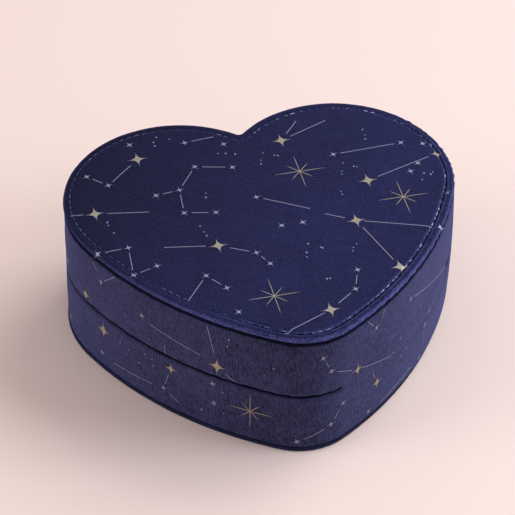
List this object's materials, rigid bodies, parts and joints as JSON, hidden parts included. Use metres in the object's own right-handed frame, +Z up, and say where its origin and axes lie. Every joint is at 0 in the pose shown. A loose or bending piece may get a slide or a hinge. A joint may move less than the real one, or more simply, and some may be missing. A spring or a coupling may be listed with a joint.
{
  "type": "heart-shaped jewelry gift box",
  "caption": "Heart-shaped velvet jewelry case whose padded lid opens on a cloth side hinge over ring rolls and lined compartments.",
  "frame": {"origin": "on the table, under the middle of the case", "axes": "+Z up, +Y towards the notch of the heart, -Y towards its tip, +X towards the hinged side"},
  "size_m": [0.13, 0.1129, 0.0494],
  "materials": {
    "velvet": "short-pile velvet, deep navy, with a printed metallic foil pattern",
    "lining_velour": "short-pile velour, navy",
    "greyboard": "uncoated grey board",
    "foam": "open-cell foam",
    "magnet": "nickel-plated bar magnet",
    "thread": "polyester sewing thread with a slight sheen",
    "elastic": "woven elastic in a gathered casing",
    "champagne_metal": "champagne-gold, satin: press studs and foil print"
  },
  "bodies": {
    "base": {"bottom_panel_cover": "velvet", "bottom_panel_board": "greyboard", "bottom_panel_stitching": "thread", "base_velvet_band": "velvet", "base_wall_board": "greyboard", "base_lining": "lining_velour", "base_floor_pad": "lining_velour", "base_magnet_1": "magnet", "base_magnet_2": "magnet", "base_magnet_3": "magnet", "divider_behind_rolls": "lining_velour", "divider_before_rolls": "lining_velour", "divider_between_lobes": "lining_velour", "ring_roll_1": "lining_velour", "ring_roll_2": "lining_velour", "ring_roll_3": "lining_velour", "ring_roll_4": "lining_velour", "hinge_cloth": "velvet", "hinge_lining": "lining_velour"},
    "lid": {"top_panel_cover": "velvet", "top_panel_board": "greyboard", "top_panel_foam": "foam", "top_panel_stitching": "thread", "lid_velvet_band": "velvet", "lid_wall_board": "greyboard", "lid_lining": "lining_velour", "lid_inner_pad": "lining_velour", "lid_magnet_1": "magnet", "lid_magnet_2": "magnet", "lid_magnet_3": "magnet", "pocket_pouch": "lining_velour", "pocket_elastic": "elastic", "tab_anchor_1": "lining_velour", "tab_stud_socket_1": "champagne_metal", "tab_anchor_2": "lining_velour", "tab_stud_socket_2": "champagne_metal", "tab_anchor_3": "lining_velour", "tab_stud_socket_3": "champagne_metal"},
    "tab_1": {"tab_strap_1": "lining_velour", "tab_stud_cap_1": "champagne_metal"},
    "tab_2": {"tab_strap_2": "lining_velour", "tab_stud_cap_2": "champagne_metal"},
    "tab_3": {"tab_strap_3": "lining_velour", "tab_stud_cap_3": "champagne_metal"}
  },
  "joints": [
    {"name": "lid_hinge", "type": "hinge", "parent": "base", "child": "lid", "pos_m": [0.03725, -0.03186, 0.0237], "axis": [0.6947, 0.7193, 0], "range_deg": [0, 145], "deforming": ["hinge_cloth", "hinge_lining"]},
    {"name": "tab_1_hinge", "type": "hinge", "parent": "lid", "child": "tab_1", "pos_m": [-0.05135, 0.02034, 0.0419], "axis": [0.6947, 0.7193, 0], "range_deg": [0, 100]},
    {"name": "tab_2_hinge", "type": "hinge", "parent": "lid", "child": "tab_2", "pos_m": [-0.04024, 0.03185, 0.0419], "axis": [0.6947, 0.7193, 0], "range_deg": [0, 100]},
    {"name": "tab_3_hinge", "type": "hinge", "parent": "lid", "child": "tab_3", "pos_m": [-0.02912, 0.04336, 0.0419], "axis": [0.6947, 0.7193, 0], "range_deg": [0, 100]}
  ]
}
